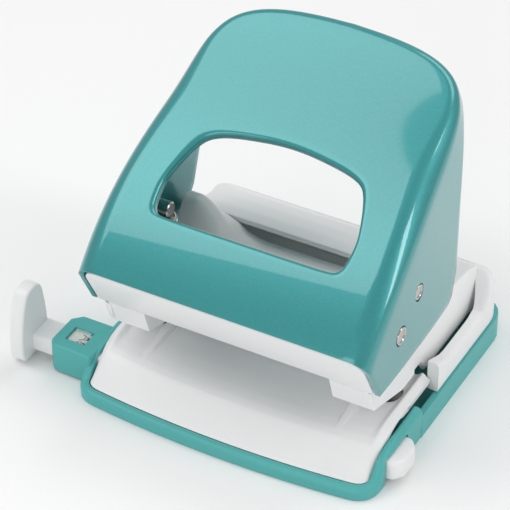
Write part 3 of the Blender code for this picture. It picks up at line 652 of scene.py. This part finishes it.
extra = []
for side in (-1, 1):
    extra += [side * (34.4 + off) for off in (
        -2.2, -1.8, -1.6, -1.4, -1.2, -1.0, -0.8, 0.8, 1.0, 1.2, 1.4, 1.6, 1.8, 2.2)]
    extra += [side * (46.9 + off) for off in (-1.8, -1.2, -0.6, 0.0, 0.6, 1.2, 1.8)]
table_columns = sorted(set(round(x, 3) for x in table_columns + extra))
table_fronts = [table_front(x) for x in table_columns]
table_work = grid_piece(len(table_columns) - 1, 110, table_place)
bmesh.ops.recalc_face_normals(table_work, faces=table_work.faces)
if sum(face.normal.z for face in table_work.faces) < 0:
    bmesh.ops.reverse_faces(table_work, faces=table_work.faces)
table = mesh_object("paper_table", table_work, 60.0)
wall = table.modifiers.new("wall", "SOLIDIFY")
wall.thickness = 2.0 * MM
wall.offset = -1.0
hole_cuts = []
for side in (-1, 1):
    bore = bmesh.new()
    bmesh.ops.create_cone(bore, cap_ends=True, segments=64, radius1=5.3 * MM, radius2=5.3 * MM, depth=20 * MM)
    bmesh.ops.translate(bore, vec=Vector((side * 40, -11.8, 14)) * MM, verts=bore.verts)
    hole_cuts.append(mesh_object(f"die_hole_{side}", bore))
settle(table, hole_cuts)
table.data.set_sharp_from_angle(angle=math.radians(50))
dress(table, white_plastic, "white_plastic", "base", "front_plate")

# ------------------------------------------------------------------------------------------------
# Body walls. One white moulding that flanks the lever on both sides and closes the rear; its top
# edge is rounded over and carries the deck panel, which sits in a shallow step behind the lever.

BODY_HALF = 52.0
BODY_REAR = 51.0
SIDE_X = 46.1
BODY_CREST = [
    (-40.0, 34.4), (20.0, 34.4), (26.0, 34.1), (32.0, 33.0), (38.5, 30.8), (43.0, 28.3), (46.5, 25.4), (48.6, 22.6),
    (50.0, 19.6), (50.8, 16.6), (51.1, 14.6),
]
BODY_FOOT = [
    (-36.4, 33.6), (-35.4, 28.4), (-33.6, 25.2), (-30.0, 23.6), (-14.0, 18.9), (0.15, 18.6), (0.35, 9.25),
    (60.0, 9.25),
]
DECK_FRONT = 21.0

# Each side wall stands just inside the lever's flank; its foot is rounded over the paper throat.


def side_wall(side):
    stations = [-36.3, -36.0, -35.6, -35.0, -34.2, -33.2, -32.0, -30.0, -27.0, -24.0]
    stations += [-20.0, -16.0, -12.0, -8.0, -4.0, 0.1]
    stations += [4.0, 8.0, 12.0, 16.0, 20.0, 24.0, 28.0, 32.0, 36.0, 40.0]

    def section(y):
        foot = eased(BODY_FOOT, min(y, 0.1)) if y < 0.2 else 13.0
        top = max(eased(BODY_CREST, y) - 0.2, foot + 0.6)
        turn = 1.5
        return ([(SIDE_X - 1.8, foot)] + [(SIDE_X - turn + o, foot + z) for o, z in (
            (0.0, 0.0), (0.57, 0.11), (1.06, 0.44), (1.39, 0.93), (1.5, 1.5))]
            + [(SIDE_X, top - 0.4), (SIDE_X - 0.12, top - 0.12), (SIDE_X - 0.4, top), (SIDE_X - 1.8, top)])

    def place(column, row):
        x, z = section(stations[column])[row % 10]
        return Vector((side * x, stations[column], z)) * MM

    work = grid_piece(len(stations) - 1, 10, place)
    bmesh.ops.remove_doubles(work, verts=work.verts, dist=0.001 * MM)
    bmesh.ops.holes_fill(work, edges=[edge for edge in work.edges if edge.is_boundary], sides=0)
    bmesh.ops.recalc_face_normals(work, faces=work.faces)
    return mesh_object("side_wall", work, 40.0)


for side, word in ((-1, "left"), (1, "right")):
    wall_piece = side_wall(side)
    wall_piece.name = f"side_wall_{word}"
    dress(wall_piece, white_plastic, "white_plastic", "base")

# The outer border runs from the stop face back along each side, low under the lever's flank, then
# climbs round the rear corner; a fine groove parts it from the deck.


BORDER_Z = [(0.0, 20.2), (1.5, 20.0), (8.5, 17.0), (12.0, 16.4), (29.0, 16.4), (34.0, 17.6), (38.0, 20.6), (42.0, 23.6),
            (46.0, 24.4), (51.1, 23.6)]


def border_run():
    left = [Vector((-BODY_HALF, y)) for y in (
        0.45, 0.9, 1.5, 3.0, 5.0, 7.0, 8.5, 10.0, 12.0, 15.0, 18.0, 21.0, 24.0, 27.0, 29.0, 31.0)]
    corner = smoothed([
        Vector((-BODY_HALF, 32.5)), Vector((-BODY_HALF, 44.5)), Vector((-45.5, BODY_REAR)),
        Vector((-33.7, BODY_REAR)),
    ], 3)
    left += corner[1:] + [Vector((x, BODY_REAR)) for x in (-30.0, -20.0, -10.0)]
    return left + [Vector((0.0, BODY_REAR))] + [Vector((-p.x, p.y)) for p in reversed(left)]


walls_run = border_run()
walls_inwards = inwards(walls_run)
if walls_inwards[3].x < 0:
    walls_inwards = [-n for n in walls_inwards]


def border_section(spot, inward):
    low = 9.25
    rear = ramp(33.0, 47.0, spot.y)
    crest = eased(BORDER_Z, spot.y) * (1 - rear) + 15.0 * rear
    radius = 1.6 + 3.0 * rear
    shelf = 3.8 + 5.0 * rear
    section = [(0.3, low), (0.0, low + 0.3)]
    for step in range(9):
        turn = math.pi / 2 * step / 8
        inset = radius * (1 - math.cos(turn))
        over = eased(BODY_CREST, (spot + inward * inset).y)
        rise = crest - radius * (1 - math.sin(turn)) + rear * max(over - 15.0, 0.0)
        section.append((inset, max(min(rise, over if rear > 0.5 else 99.0), low + 0.35)))
    for step in range(1, 6):
        inset = radius + (shelf - radius) * step / 5
        level = crest + rear * max(eased(BODY_CREST, (spot + inward * inset).y) - 15.0, 0.0)
        section.append((inset, max(level, low + 0.4)))
    last = section[-1][1]
    return section + [(shelf + 0.05, last - 0.9), (shelf, low + 0.35), (2.2, low)]


wall_sections = [border_section(spot, inward) for spot, inward in zip(walls_run, walls_inwards)]


def walls_place(column, row):
    inset, z = wall_sections[column][row % len(wall_sections[0])]
    spot = walls_run[column] + walls_inwards[column] * inset
    return Vector((spot.x, spot.y, z)) * MM


walls_work = grid_piece(len(walls_run) - 1, len(wall_sections[0]), walls_place)
bmesh.ops.remove_doubles(walls_work, verts=walls_work.verts, dist=0.001 * MM)
bmesh.ops.holes_fill(walls_work, edges=[edge for edge in walls_work.edges if edge.is_boundary], sides=0)
bmesh.ops.recalc_face_normals(walls_work, faces=walls_work.faces)
walls = mesh_object("body_border", walls_work, 35.0)
dress(walls, white_plastic, "white_plastic", "base", "upper_body")


def deck_place(column, row):
    x = (column / 60 * 2 - 1) * (SIDE_X - 0.2)
    y_end = BODY_REAR - 4.2
    y = DECK_FRONT + (y_end - DECK_FRONT) * row / 30
    corner = 5.0
    over_x = max(abs(x) - (SIDE_X - 0.2 - corner), 0.0)
    limit = y_end - corner + math.sqrt(max(corner ** 2 - over_x ** 2, 0.0))
    y = min(y, DECK_FRONT + (limit - DECK_FRONT) * row / 30)
    return Vector((x, y, eased(BODY_CREST, y) - 0.1)) * MM


deck_work = grid_piece(60, 30, deck_place)
bmesh.ops.recalc_face_normals(deck_work, faces=deck_work.faces)
if sum(face.normal.z for face in deck_work.faces) < 0:
    bmesh.ops.reverse_faces(deck_work, faces=deck_work.faces)
deck = mesh_object("deck_panel", deck_work, 40.0)
deck_wall = deck.modifiers.new("wall", "SOLIDIFY")
deck_wall.thickness = 1.8 * MM
deck_wall.offset = -1.0
deck_edge = deck.modifiers.new("edge", "BEVEL")
deck_edge.width = 0.5 * MM
deck_edge.segments = 3
deck_edge.limit_method = "ANGLE"
dress(deck, white_plastic, "white_plastic", "base")

# ------------------------------------------------------------------------------------------------
# Inner cover. A thin white moulding behind the punches, scooped in the middle and swept up to a
# crest at each side, which keeps fingers and dust off the works under the hand window.


def cover_place(column, row):
    half_x = 46.0
    x = (column / 110 * 2 - 1) * half_x
    y_low, y_high = -4.8, 20.7
    y = y_low + (y_high - y_low) * row / 44
    side = ramp(19, 42, abs(x))
    front = ramp(y_low, y_low + 13, y)
    back = 1 - ramp(y_low + 15, y_high, y)
    z = 28.6 + 18.9 * side * front * (0.35 + 0.65 * back)
    narrow = 1 - 0.07 * ramp(32.6, 47.5, 28.6 + 30 * ramp(20, 42, abs(x)))
    return Vector((x * narrow, y, z)) * MM


cover_work = grid_piece(110, 44, cover_place)
bmesh.ops.recalc_face_normals(cover_work, faces=cover_work.faces)
if sum(face.normal.z for face in cover_work.faces) < 0:
    bmesh.ops.reverse_faces(cover_work, faces=cover_work.faces)
cover = mesh_object("inner_cover_shell", cover_work, 60.0)
cover_wall = cover.modifiers.new("wall", "SOLIDIFY")
cover_wall.thickness = 1.5 * MM
cover_wall.offset = -1.0
cover_edge = cover.modifiers.new("edge", "BEVEL")
cover_edge.width = 0.3 * MM
cover_edge.segments = 2
cover_edge.limit_method = "ANGLE"
cover_edge.angle_limit = math.radians(55)
dress(cover, white_plastic, "white_plastic", "base", "inner_cover")

# ------------------------------------------------------------------------------------------------
# Paper guide. A white bar that slides through the housing, with an upright rounded stop on its
# end; the paper sizes are printed on a strip under the housing's window.

bar_work = slab([(-75.0, GUIDE_FRONT), (33.0, GUIDE_FRONT), (33.0, GUIDE_BACK), (-75.0, GUIDE_BACK)], 3.2, 9.5)
bar = mesh_object("guide_bar_slide", rounded_edges(bar_work, 0.7))
stop_side = smoothed([
    Vector(p) for p in ((-30.0, 1.0), (-38.5, 1.0), (-41.4, 1.2), (-42.9, 4.0), (-42.9, 8.0), (-42.2, 15.0),
                        (-40.6, 22.0), (-38.6, 26.6), (-34.0, 27.6), (-30.0, 26.2), (-28.4, 20.0), (-27.2, 10.0),
                        (-26.9, 4.0), (-27.6, 1.2), (-30.0, 1.0))
], 3)[:-1]
stop_work = slab([(p.x, p.y) for p in stop_side], 0.0, 5.2)
upright = Matrix(((0, 0, 1, -79.2 * MM), (1, 0, 0, 0), (0, 1, 0, 0), (0, 0, 0, 1)))
bmesh.ops.transform(stop_work, matrix=upright, verts=stop_work.verts)
bmesh.ops.recalc_face_normals(stop_work, faces=stop_work.faces)
stop = mesh_object("guide_stop", rounded_edges(stop_work, 1.5, 5, 50.0))
settle(bar, [stop], "UNION")
bar.data.shade_smooth()
bar.data.set_sharp_from_angle(angle=math.radians(40))
dress(bar, white_plastic, "white_plastic", "guide", "guide_bar")

strip_paint = finished("size_strip", (0.80, 0.79, 0.72), (0.76, 0.75, 0.68), 0.5, bump=0.05)
ink = finished("size_ink", (0.015, 0.015, 0.017), (0.02, 0.02, 0.022), 0.5, bump=0.05)
strip_plan = [(-63.6, -35.8), (-30.0, -35.8), (-30.0, -27.8), (-63.6, -27.8)]
strip = mesh_object("size_strip", slab(strip_plan, 9.4, 9.72))
dress(strip, strip_paint, "white_plastic", "guide")
letters = bpy.data.curves.new("size_mark", "FONT")
letters.body = "A6"
letters.size = 5.2 * MM
letters.extrude = 0.03 * MM
letters.align_x = "CENTER"
letters.align_y = "CENTER"
letters_object = bpy.data.objects.new("letters", letters)
bpy.context.scene.collection.objects.link(letters_object)
bpy.context.view_layer.update()
mark_data = bpy.data.meshes.new_from_object(letters_object.evaluated_get(bpy.context.evaluated_depsgraph_get()))
bpy.data.objects.remove(letters_object, do_unlink=True)
mark_data.transform(Matrix.Translation(Vector((-57.9, -31.9, 9.76)) * MM) @ Matrix.Rotation(-math.pi / 2, 4, "Z"))
mark = bpy.data.objects.new("size_mark", mark_data)
bpy.context.scene.collection.objects.link(mark)
dress(mark, ink, "white_plastic", "guide")

# ------------------------------------------------------------------------------------------------
# Lever lock. A rounded white slide that is pushed in under the lever to hold it down.

lock_plan = [
    (44.4, -33.6), (49.9, -33.6), (51.2, -36.6), (54.6, -36.6), (57.4, -33.0), (57.4, -26.0), (54.6, -22.4),
    (51.2, -22.4), (49.9, -25.4), (44.4, -25.4),
]
lock = mesh_object("lock_knob", rounded_edges(slab(lock_plan, 2.1, 9.2), 1.3, 5))
dress(lock, white_plastic, "white_plastic", "lock", "lock_slide")

# ------------------------------------------------------------------------------------------------
# Front cover. A flat white strip with rounded corners that closes the front under the lever's
# edge, screwed to both punch housings.

cover_low = Vector((-38.0, 34.8))
cover_high = Vector((-47.9, 53.8))
rise = (cover_high - cover_low).normalized()
into = Vector((rise.y, -rise.x))
lip_low = cover_low + into * 0.5 - rise * 0.2
lip_length = (cover_high + into * 0.5 - rise * 2.2 - lip_low).length
lip_half = 47.9
lip_plan = [(-lip_half, 0.0), (lip_half, 0.0)]
lip_plan += arc((lip_half - 5.4, lip_length - 5.4), 5.4, 0, 90, 10)
lip_plan += arc((-lip_half + 5.4, lip_length - 5.4), 5.4, 90, 180, 10)
lip_work = slab(lip_plan, 0.0, 2.0)
lip_turn = Matrix((
    (1, 0, 0, 0), (0, rise.x, into.x, lip_low.x * MM), (0, rise.y, into.y, lip_low.y * MM), (0, 0, 0, 1),
))
bmesh.ops.transform(lip_work, matrix=lip_turn, verts=lip_work.verts)
bmesh.ops.recalc_face_normals(lip_work, faces=lip_work.faces)
lip = mesh_object("front_strip", rounded_edges(lip_work, 0.45, 3, 45.0))
dress(lip, white_plastic, "white_plastic", "base", "front_cover")

# ------------------------------------------------------------------------------------------------
# Pins. Bright steel rods through the lever's flanks; each head is flat with a shallow turned
# recess and a rounded rim.


def pin(name, radius, inner, outer, y, z, side, *nodes):
    """A pin turned from a profile, its head recessed at the outer end."""
    profile = [
        (0.0, inner), (radius - 0.4, inner), (radius, inner + 0.4), (radius, outer - 0.35), (radius - 0.1, outer - 0.1),
        (radius - 0.35, outer), (radius - 0.75, outer), (radius - 0.95, outer - 0.3), (0.0, outer - 0.36),
    ]
    work = bmesh.new()
    spots = [work.verts.new(Vector((x * side, r, 0)) * MM) for r, x in profile]
    lines = [work.edges.new(pair) for pair in zip(spots, spots[1:])]
    bmesh.ops.spin(work, geom=spots + lines, cent=(0, 0, 0), axis=(1, 0, 0), angle=math.tau, steps=48,
                   use_merge=True, use_duplicate=False)
    bmesh.ops.remove_doubles(work, verts=work.verts, dist=0.001 * MM)
    bmesh.ops.translate(work, vec=Vector((0, y, z)) * MM, verts=work.verts)
    bmesh.ops.recalc_face_normals(work, faces=work.faces)
    made = mesh_object(name, work, 35.0)
    dress(made, bright_steel, "steel", "lever", *nodes)


for word, side in (("left", -1), ("right", 1)):
    low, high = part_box(f"pivot_pin_{word}")
    ends = sorted((abs(low[0]) / MM, abs(high[0]) / MM))
    pin(f"pivot_pin_head_{word}", 3.0, ends[0], ends[1], *PIVOT_YZ, side, f"pivot_pin_{word}")
    low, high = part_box(f"drive_pin_{word}")
    ends = sorted((abs(low[0]) / MM, abs(high[0]) / MM))
    pin(f"drive_pin_head_{word}", 2.6, ends[0], ends[1], *DRIVE_YZ, side, f"drive_pin_{word}")

# ------------------------------------------------------------------------------------------------
# Carried-over pieces: the pan, chassis, dies, bushes, punches, springs, screws and lens keep
# their shape and take the finishes above.

SLOTS = {
    "white_plastic": white_plastic, "rim_plastic": teal_plastic, "steel": bright_steel,
    "spring_steel": spring_wire, "clear_lens": clear_plastic, "lever_paint": white_plastic,
}
slot_of = {part["node"]: part["material_slot"] for part in frame["record"]["subparts"]}
for name, node in frame["nodes"].items():
    for socket in node.material_slots:
        socket.material = SLOTS[slot_of[name]]
